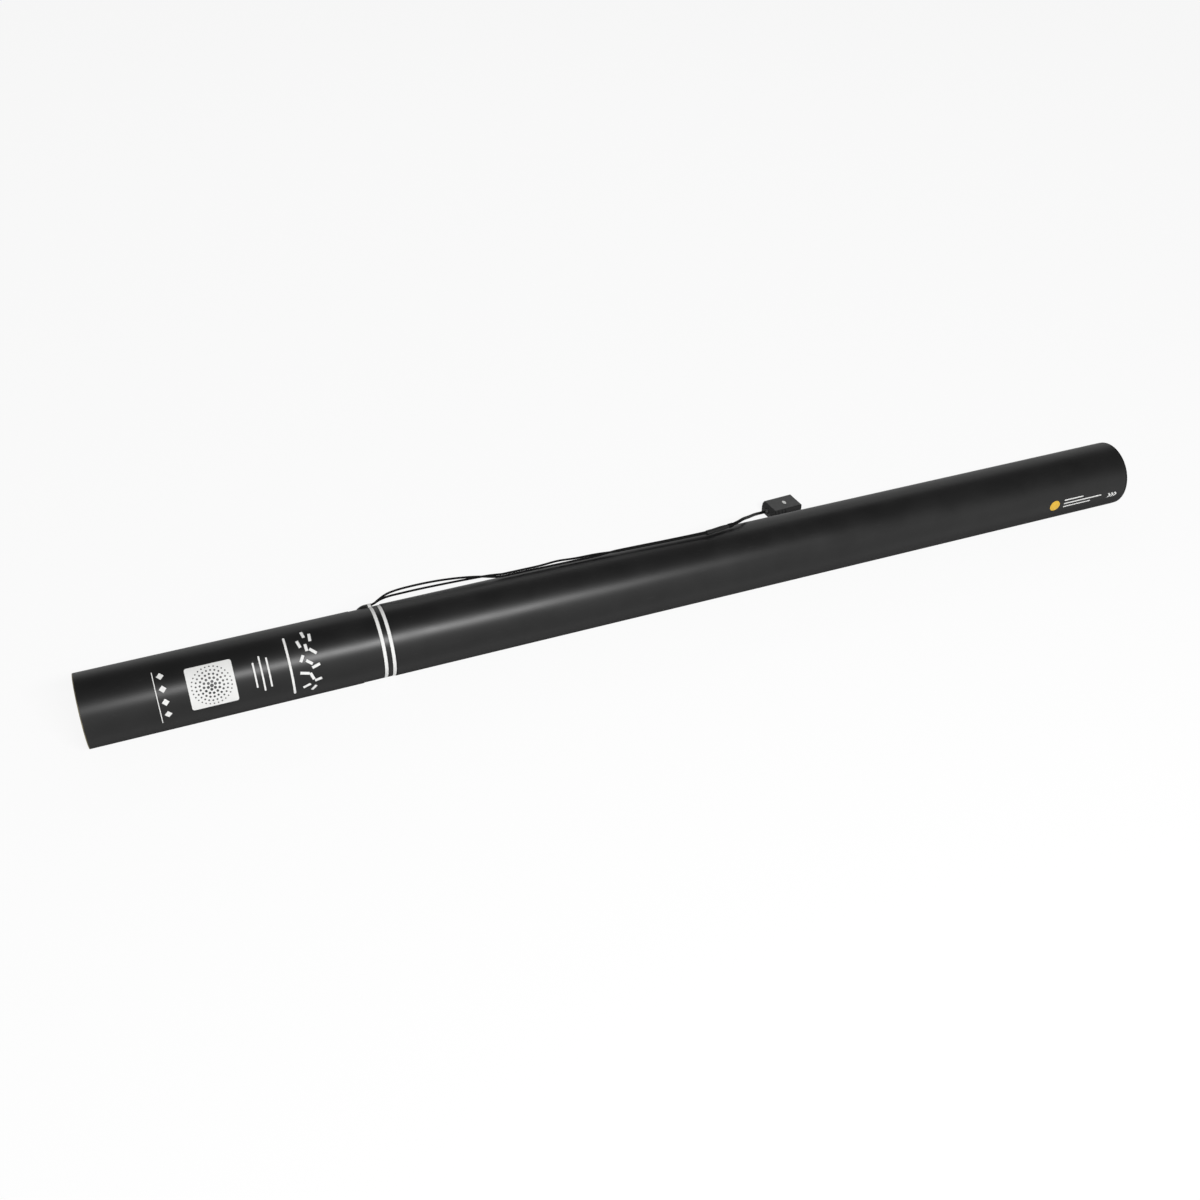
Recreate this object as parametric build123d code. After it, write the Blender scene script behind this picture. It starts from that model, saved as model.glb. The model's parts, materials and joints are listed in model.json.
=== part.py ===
from build123d import *
import math
import os

# Confetti cannon lying on its side: a wound paperboard barrel with a one-shot gas cylinder in its base,
# an electric release, a packed charge of foil slips and a short lead with a flat two-pole plug.
# The barrel lies along X with its base end at -X. Z is up and zero is the surface that it lies on.
# Stations are distances along the barrel from its base end.

# Barrel
tube_length = 798.4
tube_outer_diameter = 50.0
tube_wall = 2.5
cap_seat_gap = 0.1
cap_flange_thickness = 1.5

# Fits shared by the pieces
press_gap = 0.05
running_gap = 0.3
seat_gap = 0.1
cut_overrun = 1.0

# Printed wrap of the base end, and the striped band in front of it that covers the lead's exit
wrap_length = 178.0
wrap_thickness = 0.3
wrap_relief = 0.1
band_length = 22.5
band_setback = 9.0
band_relief = 0.3
tent_height = 1.8
tent_radius = 4.4
tent_ramp_radius = 10.0
tent_overhang = 4.0
exit_angle = 37.0

# Base plug
base_recess = 2.0
base_plug_length = 15.0
base_plug_floor = 4.0
base_plug_wall = 2.4
base_dish_depth = 1.2
base_boss_radius = 6.0
base_rim_width = 3.6
base_rib_width = 1.6
base_rib_count = 6

# Gas cylinder, its pad and the rings that centre it. Its body is as long as the room behind the head.
pad_thickness = 5.0
pad_gap = 0.2
centring_ring_wall = 3.4
cylinder_shoulder_length = 16.0
cylinder_heel_radius = 6.0
cylinder_wall = 2.0
neck_diameter = 18.0
neck_length = 13.0
mouth_diameter = 8.0
ring_length = 10.0
lower_ring_offset = 23.0
upper_ring_setback = 15.0

# Gasket and burst foil at the neck
gasket_thickness = 1.0
gasket_bore_diameter = 10.0
foil_thickness = 0.2
foil_edge_gap = 0.5

# Firing head
thread_gap = 0.1
head_skirt_wall = 4.9
head_skirt_gap = 1.0
head_web = 1.8
gallery_length = 4.0
gallery_diameter = 28.4
guide_length = 19.0
guide_diameter = 9.0
cavity_depth = 12.0
cavity_wall = 5.45
port_count = 6
port_diameter = 6.0
port_circle_diameter = 20.0
seal_section_diameter = 2.2
seal_offset = 16.0
lead_slot_margin = 0.3
board_boss_diameter = 4.4
board_boss_inset = 4.0
board_boss_height = 7.5

# Striker, its spring and the retainer that the spring pushes against
needle_gap = 3.8
needle_diameter = 2.8
needle_point_length = 2.5
needle_length = 4.0
stem_diameter = 3.4
stem_tail = 2.0
eye_diameter = 1.4
spring_wire_diameter = 0.8
spring_turns = 4
spring_room = 6.0
retainer_depth = 5.0
retainer_flange_margin = 0.2
retainer_flange_thickness = 2.0
post_diameter = 2.4
post_height = 3.5
link_diameter = 0.8
link_height = 4.0
link_hole_gap = 0.15
link_tail = 0.4

# Heater resistor and the board that carries it
resistor_diameter = 1.6
resistor_length = 5.0
resistor_gap = 0.05
resistor_side_gap = 0.25
resistor_leg_diameter = 0.5
resistor_leg_reach = 0.8
board_end_gap = 1.0
board_width = 8.0
board_thickness = 1.2
screw_head_diameter = 3.4
screw_head_height = 1.2
screw_shank_diameter = 1.8
screw_length = 6.0

# Lead exit: the height of the wires above the head's cavity floor, and the grommet round them
lead_height = 3.0
wire_diameter = 1.5
wire_pitch = 1.9
inner_wire_diameter = 1.2
inner_pad_offset = 3.3
grommet_hole_diameter = 4.8
grommet_reach = 0.5
grommet_back = 2.5
grommet_front = 3.5

# Plate in front of the head
plate_thickness = 2.0
plate_centre_hole_diameter = 6.0

# Charge: the slips are cut so that two columns of them fill the bore
wad_length = 18.0
wad_wall = 3.2
wad_floor = 5.0
felt_thickness = 4.0
row_count = 6
slip_length = 55.0
stack_corner_gap = 0.8
stack_corner_angle = 37.4
packets_per_stack = 5
packet_shift = 0.8
row_gap = 2.0
charge_disc_thickness = 8.0

# Muzzle cap
cap_skirt_length = 16.0
cap_skirt_wall = 2.0
cap_flange_inset = 0.1
cap_dish_depth = 0.6
cap_rim_width = 3.0
cap_boss_radius = 8.0

# Lead: the wires leave the grommet apart, run on as a twisted pair, and are spliced to the plug's lead
pair_diameter = 3.4
sleeve_diameter = 3.8
sleeve_bore_diameter = 2.8
sleeve_length = 20.0
ferrule_diameter = 1.1
ferrule_length = 7.0
ferrule_pitch = 1.3
plug_lead_diameter = 2.4
arc_share = 0.45

# Plug
plug_length = 27.4
plug_width = 17.4
plug_height = 9.0
plug_wall = 1.6
plug_corner_chamfer = 1.4
plug_slope_setback = 3.0
plug_slope_rise = 3.6
plug_edge_radius = 0.8
plug_seam_chamfer = 0.25
grip_rib_count = 4
grip_rib_length = 1.2
grip_rib_pitch = 3.2
grip_rib_depth = 0.4
grip_rib_margin = 1.6
contact_length = 14.0
contact_width = 4.4
contact_height = 2.4
contact_sheet = 0.4
contact_spacing = 8.0
contact_gap = 0.1
blade_slot_width = 3.6
blade_slot_height = 1.4
boot_length = 5.0
boot_seat_depth = 3.4
boot_front_diameter = 4.8
boot_rear_diameter = 3.4

# Sizes that follow from those above
tube_outer_radius = tube_outer_diameter / 2
bore_radius = tube_outer_radius - tube_wall
axis_height = tube_outer_radius
wrap_radius = tube_outer_radius - wrap_relief
wrap_seat_radius = wrap_radius - wrap_thickness
band_radius = wrap_radius - band_relief
band_seat_radius = band_radius - wrap_thickness
band_end = wrap_length + band_length
overall_length = tube_length + cap_seat_gap + cap_flange_thickness
press_radius = bore_radius - press_gap
sliding_radius = bore_radius - running_gap
tent_centre = tube_outer_radius + tent_height - tent_radius

base_plug_end = base_recess + base_plug_length
pad_start = base_recess + base_plug_floor
cylinder_start = pad_start + pad_thickness
cylinder_radius = press_radius - centring_ring_wall - press_gap
lead_station = wrap_length + band_setback
cavity_floor = lead_station - lead_height
gallery_end = cavity_floor - guide_length
gallery_start = gallery_end - gallery_length
head_seat = gallery_start - head_web
gasket_end = head_seat - foil_thickness
neck_end = gasket_end - gasket_thickness
neck_start = neck_end - neck_length
shoulder_start = neck_start - cylinder_shoulder_length
head_start = neck_start + head_skirt_gap
cavity_radius = press_radius - cavity_wall
board_length = 2 * (cavity_radius - board_end_gap)
board_boss_spacing = 2 * (cavity_radius - board_boss_inset)
lead_slot_width = grommet_hole_diameter + 2 * lead_slot_margin
head_end = cavity_floor + cavity_depth
plate_end = head_end + plate_thickness
seal_station = head_seat + seal_offset
neck_radius = neck_diameter / 2
guide_radius = guide_diameter / 2
foil_radius = neck_radius - foil_edge_gap

needle_tip = head_seat + needle_gap
piston_start = needle_tip + needle_length
retainer_start = cavity_floor - retainer_depth
piston_end = retainer_start - spring_room
link_station = cavity_floor + link_height
stem_end = link_station + stem_tail
post_start = cavity_floor + retainer_flange_thickness
post_end = post_start + post_height
post_spacing = stem_diameter + 2 * (resistor_diameter + 2 * resistor_side_gap) + post_diameter
retainer_flange_radius = (post_spacing + post_diameter) / 2 + retainer_flange_margin
board_start = cavity_floor + board_boss_height
board_end = board_start + board_thickness
grommet_face = lead_station + grommet_front
tent_foot = band_seat_radius - tent_centre
tent_front = grommet_face + tent_overhang

wad_start = plate_end + running_gap
felt_start = wad_start + wad_length
charge_start = felt_start + felt_thickness + seat_gap
row_pitch = slip_length + row_gap
stack_corner_radius = sliding_radius - stack_corner_gap
slip_width = stack_corner_radius * math.cos(math.radians(stack_corner_angle))
stack_height = 2 * stack_corner_radius * math.sin(math.radians(stack_corner_angle))
charge_disc_start = charge_start + row_count * row_pitch
cap_flange_start = tube_length + cap_seat_gap
from_bottom = (Align.CENTER, Align.CENTER, Align.MIN)
from_rear = (Align.MIN, Align.CENTER, Align.CENTER)


def rod(radius, start, end):
    """A round bar on the barrel's axis, from one station to another."""
    return Pos(start, 0, 0) * Rot(0, 90, 0) * Cylinder(radius, end - start, align=from_bottom)


def ring(inner_radius, outer_radius, start, end):
    """A straight ring on the barrel's axis."""
    return rod(outer_radius, start, end) - rod(inner_radius, start - cut_overrun, end + cut_overrun)


def turned(points):
    """A solid of revolution about the barrel's axis, from (station, radius) points."""
    return revolve(make_face(Polyline(*points, close=True)), axis=Axis.X)


def upright(radius, start, end):
    """A round bar along local Z, which points from the axis to the lead's exit."""
    return Pos(0, 0, start) * Cylinder(radius, end - start, align=from_bottom)


def crossbar(radius, half_length):
    """A round bar along Y, centred on the axis."""
    return Rot(90, 0, 0) * Cylinder(radius, 2 * half_length)


def place(piece):
    """Carries a piece from barrel stations, with the exit upward, to its place in the lying cannon."""
    return Pos(-overall_length / 2, 0, axis_height) * Rot(-exit_angle, 0, 0) * piece


def ahead_of_exit(ahead, across, height):
    """A point in the cannon's frame, from its distance ahead of the grommet's face."""
    return Vector(grommet_face + ahead - overall_length / 2, across, height)


def over_tube(ahead, angle, rise):
    """A point over the barrel: a distance ahead of the grommet's face, an angle past the top towards
    +Y, and a rise above the barrel's surface."""
    turn = math.radians(angle)
    distance = tube_outer_radius + rise
    return ahead_of_exit(ahead, distance * math.sin(turn), axis_height + distance * math.cos(turn))


def tent(inset, front):
    """The rounded blister over the wires: a ramp up to the grommet's face and a straight run from there."""
    top = tent_radius - inset
    rise = top - tent_foot
    ramp_radius = tent_ramp_radius - inset
    rear = grommet_face - math.sqrt(2 * ramp_radius * rise - rise ** 2)
    shoulder = (grommet_face, top)
    ramp = RadiusArc((rear, tent_foot), shoulder, ramp_radius)
    run = Polyline(shoulder, (front, top), (front, 0), (rear, 0), (rear, tent_foot))
    half_section = make_face(Curve() + [ramp, run])
    return Pos(0, 0, tent_centre) * Rot(-90, 0, 0) * revolve(half_section, axis=Axis.X)


# Barrel and what closes its ends

def barrel_tube():
    body = rod(wrap_seat_radius, 0, tube_length) + rod(tube_outer_radius, band_end, tube_length)
    body -= ring(band_seat_radius, tube_outer_radius, wrap_length, band_end)
    body -= rod(bore_radius, -cut_overrun, tube_length + cut_overrun)
    hole = upright(grommet_hole_diameter / 2, 0, tube_outer_radius + cut_overrun)
    return body - Pos(lead_station, 0, 0) * hole


def base_wrap():
    return ring(wrap_seat_radius, wrap_radius, 0, wrap_length)


def exit_band():
    """The striped band, raised into a tent over the wires, which come out at the tent's front."""
    band = rod(band_radius, wrap_length, band_end) + tent(0, tent_front)
    band -= rod(band_seat_radius, wrap_length - cut_overrun, band_end + cut_overrun)
    return band - tent(wrap_thickness, tent_front)


def base_plug():
    cup = rod(press_radius, base_recess, base_plug_end)
    cup -= rod(press_radius - base_plug_wall, pad_start, base_plug_end + cut_overrun)
    dish = ring(base_boss_radius, press_radius - base_rim_width, base_recess - cut_overrun,
                base_recess + base_dish_depth)
    rib = Box(2 * (cut_overrun + base_dish_depth), base_rib_width, press_radius, align=from_bottom)
    for index in range(base_rib_count):
        dish -= Pos(base_recess, 0, 0) * Rot(index * 360 / base_rib_count, 0, 0) * rib
    return cup - dish


def muzzle_cap():
    flange_radius = tube_outer_radius - cap_flange_inset
    cap = rod(flange_radius, cap_flange_start, overall_length)
    cap += ring(sliding_radius - cap_skirt_wall, sliding_radius,
                cap_flange_start - cap_skirt_length, cap_flange_start)
    dish = ring(cap_boss_radius, flange_radius - cap_rim_width, overall_length - cap_dish_depth,
                overall_length + cut_overrun)
    return cap - dish


# Gas cylinder

def cylinder_pad():
    return rod(press_radius - base_plug_wall - pad_gap, pad_start, cylinder_start)


def cylinder_half(offset, mouth_end):
    """The half section of the bottle, drawn in by an offset: one face above the axis."""
    radius = cylinder_radius - offset
    heel = cylinder_heel_radius
    start = cylinder_start + offset
    crown = (neck_start - offset, neck_radius - offset)
    edge = (shoulder_start, radius)
    bottom = Line((start, 0), (start, radius - heel))
    corner = RadiusArc((start, radius - heel), (start + heel, radius), heel)
    side = Line((start + heel, radius), edge)
    shoulder = TangentArc(edge, crown, tangent=(1, 0))
    top = Polyline(crown, (mouth_end, crown[1]), (mouth_end, 0), (start, 0))
    return make_face(Curve() + [bottom, corner, side, shoulder, top])


def gas_cylinder():
    shell = revolve(cylinder_half(0, neck_end), axis=Axis.X)
    hollow = revolve(cylinder_half(cylinder_wall, neck_start), axis=Axis.X)
    mouth = rod(mouth_diameter / 2, neck_start - cylinder_wall, neck_end + cut_overrun)
    return shell - hollow - mouth


def centring_ring(start):
    return ring(cylinder_radius + press_gap, press_radius, start, start + ring_length)


def neck_gasket():
    return ring(gasket_bore_diameter / 2, foil_radius, neck_end, gasket_end)


def burst_foil():
    return rod(foil_radius, gasket_end, head_seat)


# Firing head and its release

def firing_head():
    socket_radius = neck_radius + thread_gap
    head = rod(socket_radius + head_skirt_wall, head_start, head_seat)
    head += rod(press_radius, head_seat, head_end)
    head -= rod(socket_radius, head_start - cut_overrun, head_seat)
    head -= rod(mouth_diameter / 2, head_seat - cut_overrun, gallery_start + cut_overrun)
    head -= rod(gallery_diameter / 2, gallery_start, gallery_end)
    head -= rod(guide_radius, gallery_end - cut_overrun, cavity_floor + cut_overrun)
    head -= rod(cavity_radius, cavity_floor, head_end + cut_overrun)
    for port in gas_ports(gallery_end - cut_overrun, cavity_floor + cut_overrun):
        head -= port
    groove_half = seal_section_diameter / 2 + seat_gap
    head -= ring(press_radius - seal_section_diameter - press_gap, press_radius + cut_overrun,
                 seal_station - groove_half, seal_station + groove_half)
    slot = Box(cavity_depth + cut_overrun, lead_slot_width, press_radius + cut_overrun,
               align=(Align.MIN, Align.CENTER, Align.MIN))
    head -= Pos(cavity_floor, 0, cavity_radius - cut_overrun) * slot
    for side in (-1, 1):
        across = Pos(0, side * board_boss_spacing / 2, 0)
        head += across * rod(board_boss_diameter / 2, cavity_floor, board_start)
        head -= across * rod(screw_shank_diameter / 2 + press_gap, board_end - screw_length - seat_gap,
                             board_start + cut_overrun)
    return head


def gas_ports(start, end):
    """The ring of gas passages, set clear of the two board bosses."""
    port = Pos(0, port_circle_diameter / 2, 0) * rod(port_diameter / 2, start, end)
    return [Rot((index + 1 / 2) * 360 / port_count, 0, 0) * port for index in range(port_count)]


def head_seal():
    mean_radius = press_radius - seal_section_diameter / 2
    return Pos(seal_station, 0, 0) * Rot(0, 90, 0) * Torus(mean_radius, seal_section_diameter / 2)


def striker():
    needle = needle_diameter / 2
    piston = guide_radius - running_gap
    stem = stem_diameter / 2
    shape = turned([(needle_tip, 0), (needle_tip + needle_point_length, needle), (piston_start, needle),
                    (piston_start, piston), (piston_end, piston), (piston_end, stem),
                    (stem_end, stem), (stem_end, 0)])
    return shape - Pos(link_station, 0, 0) * crossbar(eye_diameter / 2, stem + cut_overrun)


def striker_spring():
    """The compressed spring: one wire wound between the piston and the retainer."""
    mean_radius = guide_radius - running_gap - spring_wire_diameter
    start = piston_end + spring_wire_diameter / 2 + seat_gap
    end = retainer_start - spring_wire_diameter / 2 - seat_gap
    quarters = 4 * spring_turns
    points = []
    for index in range(2 * quarters + 1):
        turn = math.radians(index * 45)
        along = start + (end - start) * index / (2 * quarters)
        points.append(Vector(along, mean_radius * math.cos(turn), mean_radius * math.sin(turn)))
    arcs = [ThreePointArc(*points[index:index + 3]) for index in range(0, 2 * quarters, 2)]
    path = Wire(arcs)
    print("spring gap to itself", round((end - start) / spring_turns - spring_wire_diameter, 2))
    section = Plane(origin=path @ 0, z_dir=path % 0) * Circle(spring_wire_diameter / 2)
    return sweep(section, path)


def spring_retainer():
    hole = stem_diameter / 2 + running_gap
    body = rod(guide_radius - press_gap, retainer_start, cavity_floor)
    body += rod(retainer_flange_radius, cavity_floor, post_start)
    for side in (-1, 1):
        body += Pos(0, side * post_spacing / 2, 0) * rod(post_diameter / 2, post_start, post_end)
    body -= rod(hole, retainer_start - cut_overrun, post_start + cut_overrun)
    reach = post_spacing / 2 + post_diameter
    return body - Pos(link_station, 0, 0) * crossbar(link_diameter / 2 + link_hole_gap, reach)


def fuse_link():
    half_length = post_spacing / 2 + post_diameter / 2 + link_tail
    return Pos(link_station, 0, 0) * crossbar(link_diameter / 2, half_length)


def heater_resistor():
    """The resistor lies on the link between the stem and one post, with its legs up to the board."""
    across = (stem_diameter / 2 + post_spacing / 2 - post_diameter / 2) / 2
    along = link_station + link_diameter / 2 + resistor_gap + resistor_diameter / 2
    half = resistor_length / 2
    leg_radius = resistor_leg_diameter / 2
    body = upright(resistor_diameter / 2, -half, half)
    body += upright(leg_radius, -half - resistor_leg_reach, half + resistor_leg_reach)
    for side in (-1, 1):
        foot = Pos(0, 0, side * (half + resistor_leg_reach))
        body += foot * rod(leg_radius, 0, board_start - along)
        body += foot * Sphere(leg_radius)
    return Pos(along, across, 0) * body


def terminal_board():
    board = Pos(board_start, 0, 0) * Box(board_thickness, board_length, board_width,
                                         align=from_rear)
    for side in (-1, 1):
        hole = rod(screw_shank_diameter / 2 + seat_gap, board_start - cut_overrun, board_end + cut_overrun)
        board -= Pos(0, side * board_boss_spacing / 2, 0) * hole
    return board


def board_screws():
    screw = rod(screw_head_diameter / 2, board_end, board_end + screw_head_height)
    screw += rod(screw_shank_diameter / 2, board_end - screw_length, board_end)
    return [Pos(0, side * board_boss_spacing / 2, 0) * screw for side in (-1, 1)]


def diffuser_plate():
    plate = rod(press_radius, head_end, plate_end)
    plate -= rod(plate_centre_hole_diameter / 2, head_end - cut_overrun, plate_end + cut_overrun)
    for port in gas_ports(head_end - cut_overrun, plate_end + cut_overrun):
        plate -= port
    return plate


# Lead from the board to the plug

def inner_lead(side):
    """A wire inside the head, from the grommet's stem to its pad on the board."""
    across = side * wire_pitch / 2
    start = (lead_station, across, bore_radius - grommet_reach)
    corner = (lead_station, across, inner_pad_offset)
    end = (board_start, across, inner_pad_offset)
    path = FilletPolyline(start, corner, end, radius=arc_share * (board_start - lead_station))
    section = Plane(origin=start, z_dir=(0, 0, -1)) * Circle(inner_wire_diameter / 2)
    return sweep(section, path)


def exit_grommet():
    head_start = band_seat_radius + press_gap
    head = tent(wrap_thickness + seat_gap, tent_front)
    head -= rod(head_start, 0, tube_length)
    head &= Pos(lead_station - grommet_back, 0, 0) * Box(
        grommet_back + grommet_front, 2 * tent_radius, 2 * (tube_outer_radius + tent_height),
        align=from_rear)
    stem = upright(grommet_hole_diameter / 2 - press_gap, bore_radius - grommet_reach, head_start + press_gap)
    return head + Pos(lead_station, 0, 0) * stem


def cord(name, points, diameter):
    """A tube along straight runs joined by arcs that are as large as the runs allow."""
    radii = []
    for before, corner, after in zip(points, points[1:], points[2:]):
        turn = (corner - before).get_angle(after - corner)
        shorter = min((corner - before).length, (after - corner).length)
        radii.append(arc_share * shorter / math.tan(math.radians(turn / 2)))
    path = FilletPolyline(*points, radius=radii)
    section = Plane(origin=points[0], z_dir=points[1] - points[0]) * Circle(diameter / 2)
    tube = sweep(section, path)
    share = tube.volume / (math.pi * diameter ** 2 / 4 * path.length)
    print(name, "length", round(path.length, 1), "volume share", round(share, 4),
          "radii", [round(radius, 1) for radius in radii])
    return tube


# Routes of the lead, as distances ahead of the grommet's face, angles past the top and rises above
# the barrel's surface
wire_height = band_seat_radius + seat_gap + wire_diameter / 2
wire_angle = math.degrees(math.atan2(wire_pitch / 2, wire_height))
wire_rise = math.hypot(wire_pitch / 2, wire_height) - tube_outer_radius
wire_1_route = [
    over_tube(0, exit_angle - wire_angle, wire_rise),
    over_tube(5.4, 34.9, 0.55),
    over_tube(9.8, 34.9, 3.0),
    over_tube(15.5, 34.4, 5.1),
    over_tube(23.0, 33.6, 6.1),
    over_tube(33.5, 32.6, 6.5),
    over_tube(46.5, 31.2, 6.6),
    over_tube(59.5, 29.4, 5.9),
    over_tube(71.5, 27.2, 4.9),
    over_tube(82.0, 24.6, 3.9),
    over_tube(90.0, 21.8, 3.1),
    over_tube(95.5, 20.0, 2.85),
]
wire_2_route = [
    over_tube(0, exit_angle + wire_angle, wire_rise),
    over_tube(5.4, 39.1, 0.5),
    over_tube(10.2, 39.0, 2.0),
    over_tube(16.8, 38.4, 2.9),
    over_tube(26.0, 37.6, 3.1),
    over_tube(38.5, 36.2, 3.1),
    over_tube(52.5, 33.8, 3.0),
    over_tube(65.5, 30.6, 2.7),
    over_tube(76.5, 27.0, 2.05),
    over_tube(85.0, 23.4, 1.5),
    over_tube(90.7, 20.9, 1.2),
    over_tube(95.5, 20.0, 1.15),
]
pair_route = [
    over_tube(95.5, 20.0, 2.0),
    over_tube(120.5, 18.6, 2.1),
    over_tube(154.5, 16.6, 2.0),
    over_tube(191.5, 12.6, 2.1),
    over_tube(225.5, 8.8, 2.0),
    over_tube(252.5, 6.6, 2.2),
]
sleeve_heading = (over_tube(272.5, 13.4, 2.3) - pair_route[-1]).normalized()
sleeve_front = pair_route[-1] + sleeve_heading * sleeve_length
plug_lead_route = [
    sleeve_front,
    over_tube(278.0, 15.8, 2.95),
    over_tube(284.0, 25.8, 3.0),
    over_tube(289.5, 41.5, 3.05),
    over_tube(297.5, 64.6, 7.1),
    ahead_of_exit(308.0, 42.5, 29.6),
    ahead_of_exit(318.5, 56.5, 20.2),
    ahead_of_exit(326.0, 66.0, 13.4),
    ahead_of_exit(330.5, 72.6, 8.8),
    ahead_of_exit(334.9, 77.0, 5.6),
    ahead_of_exit(340.7, 78.85, plug_height / 2),
]
plug_yaw = 3.4


def splice_axis():
    """The sleeve's own place: X runs along it from its rear end."""
    return Plane(origin=pair_route[-1], x_dir=sleeve_heading,
                 z_dir=sleeve_heading.cross(Vector(0, 1, 0))).location


def splice_sleeve():
    return splice_axis() * ring(sleeve_bore_diameter / 2, sleeve_diameter / 2, 0, sleeve_length)


def splice_ferrules():
    start = (sleeve_length - ferrule_length) / 2
    ferrule = rod(ferrule_diameter / 2, start, start + ferrule_length)
    return [splice_axis() * Pos(0, side * ferrule_pitch / 2, 0) * ferrule for side in (-1, 1)]


# Plug

def plug_place(piece):
    """Carries a piece from the plug's own axes, rear end at zero, to where the plug lies."""
    rear = plug_lead_route[-1]
    return Pos(rear.X, rear.Y, 0) * Rot(0, 0, plug_yaw) * Pos(boot_length - boot_seat_depth, 0, 0) * piece


def plug_outline():
    half = plug_width / 2
    cut = plug_corner_chamfer
    corners = [(0, half - cut), (cut, half), (plug_length, half), (plug_length, -half), (cut, -half),
               (0, cut - half)]
    return make_face(Polyline(*corners, close=True))


def plug_ribs(height):
    first = plug_corner_chamfer + grip_rib_margin + grip_rib_length / 2
    bars = []
    for index in range(grip_rib_count):
        for side in (-1, 1):
            where = Pos(first + index * grip_rib_pitch, side * plug_width / 2, 0)
            bars.append(where * Box(grip_rib_length, 2 * grip_rib_depth, height, align=from_bottom))
    return bars


def rear_slope():
    """What the sloping rear end takes off the upper half of the plug."""
    section = Polyline((0, 0), (plug_slope_setback, 0), (0, plug_slope_rise), close=True)
    return extrude(Plane.XZ * make_face(section), plug_width, both=True)


def plug_half(taken_off):
    """One half of the plug's casing, on its flat outer face, hollow round the boot and the two contacts."""
    height = plug_height / 2
    half = extrude(plug_outline(), height)
    for cut in taken_off:
        half -= cut
    outer_edges = half.faces().sort_by(Axis.Z)[0].edges()
    half = fillet(outer_edges, plug_edge_radius)
    seam = half.faces().sort_by(Axis.Z)[-1].edges()
    half = chamfer(seam, plug_seam_chamfer)
    for bar in plug_ribs(height - plug_seam_chamfer - plug_edge_radius):
        half += Pos(0, 0, plug_edge_radius) * bar
    pocket = Box(contact_length + 2 * contact_gap, contact_width + 2 * contact_gap,
                 contact_height + 2 * contact_gap)
    slot = Box(plug_length, blade_slot_width, blade_slot_height, align=from_rear)
    for side in (-1, 1):
        where = Pos(plug_length - plug_wall - contact_length / 2, side * contact_spacing / 2, height)
        half -= where * pocket
        half -= where * slot
    boot_seat = rod(boot_front_diameter / 2 + contact_gap, -cut_overrun, boot_seat_depth)
    return half - Pos(0, 0, height) * boot_seat


def plug_shell_bottom():
    return plug_half([])


def plug_shell_top():
    return Pos(0, 0, plug_height) * Rot(180, 0, 0) * plug_half([rear_slope()])


def plug_contacts():
    """Two folded sleeves that take the blades of the socket's lead."""
    sleeve = Box(contact_length, contact_width, contact_height)
    sleeve -= Box(contact_length + cut_overrun, contact_width - 2 * contact_sheet,
                  contact_height - 2 * contact_sheet)
    centre = plug_length - plug_wall - contact_length / 2
    return [Pos(centre, side * contact_spacing / 2, plug_height / 2) * sleeve for side in (-1, 1)]


def plug_boot():
    front = boot_front_diameter / 2
    rear = boot_rear_diameter / 2
    cone = turned([(-boot_length, 0), (-boot_length, rear), (0, front), (0, 0)])
    return Pos(boot_seat_depth, 0, plug_height / 2) * cone


# Charge

def pusher_wad():
    cup = rod(sliding_radius, wad_start, felt_start)
    return cup - rod(sliding_radius - wad_wall, wad_start - cut_overrun, felt_start - wad_floor)


def wad_felt():
    return rod(sliding_radius, felt_start, felt_start + felt_thickness)


def confetti_row(row):
    """Two stacks of foil slips side by side, each as packets that are shifted a little lengthways."""
    thickness = stack_height / packets_per_stack
    start = charge_start + row * row_pitch + row_gap / 2
    packets = []
    for column in (-1, 1):
        for index in range(packets_per_stack):
            shift = packet_shift * ((index * 2 + row + column) % 3 - 1)
            height = (index + 1 / 2 - packets_per_stack / 2) * thickness
            packet = Box(slip_length, slip_width, thickness, align=from_rear)
            packets.append(Pos(start + shift, column * slip_width / 2, height) * packet)
    return packets


def charge_disc():
    return rod(sliding_radius, charge_disc_start, charge_disc_start + charge_disc_thickness)


# All pieces, by node name, in the cannon's own frame
barrel_pieces = {
    "barrel_tube": barrel_tube(),
    "base_wrap": base_wrap(),
    "exit_band": exit_band(),
    "base_plug": base_plug(),
    "cylinder_pad": cylinder_pad(),
    "gas_cylinder": gas_cylinder(),
    "lower_centring_ring": centring_ring(cylinder_start + lower_ring_offset),
    "upper_centring_ring": centring_ring(shoulder_start - upper_ring_setback - ring_length),
    "neck_gasket": neck_gasket(),
    "burst_foil": burst_foil(),
    "firing_head": firing_head(),
    "head_seal": head_seal(),
    "striker": striker(),
    "striker_spring": striker_spring(),
    "spring_retainer": spring_retainer(),
    "fuse_link": fuse_link(),
    "heater_resistor": heater_resistor(),
    "terminal_board": terminal_board(),
    "board_screws": board_screws(),
    "diffuser_plate": diffuser_plate(),
    "inner_lead_1": inner_lead(-1),
    "inner_lead_2": inner_lead(1),
    "exit_grommet": exit_grommet(),
    "pusher_wad": pusher_wad(),
    "wad_felt": wad_felt(),
    "charge_disc": charge_disc(),
    "muzzle_cap": muzzle_cap(),
}
for row in range(row_count):
    barrel_pieces[f"confetti_row_{row + 1}"] = confetti_row(row)

lead_pieces = {
    "lead_wire_1": cord("lead_wire_1", wire_1_route, wire_diameter),
    "lead_wire_2": cord("lead_wire_2", wire_2_route, wire_diameter),
    "twisted_pair": cord("twisted_pair", pair_route, pair_diameter),
    "splice_sleeve": splice_sleeve(),
    "splice_ferrules": splice_ferrules(),
    "plug_lead": cord("plug_lead", plug_lead_route, plug_lead_diameter),
}

plug_pieces = {
    "plug_boot": plug_boot(),
    "plug_shell_bottom": plug_shell_bottom(),
    "plug_shell_top": plug_shell_top(),
    "plug_contacts": plug_contacts(),
}


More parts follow.
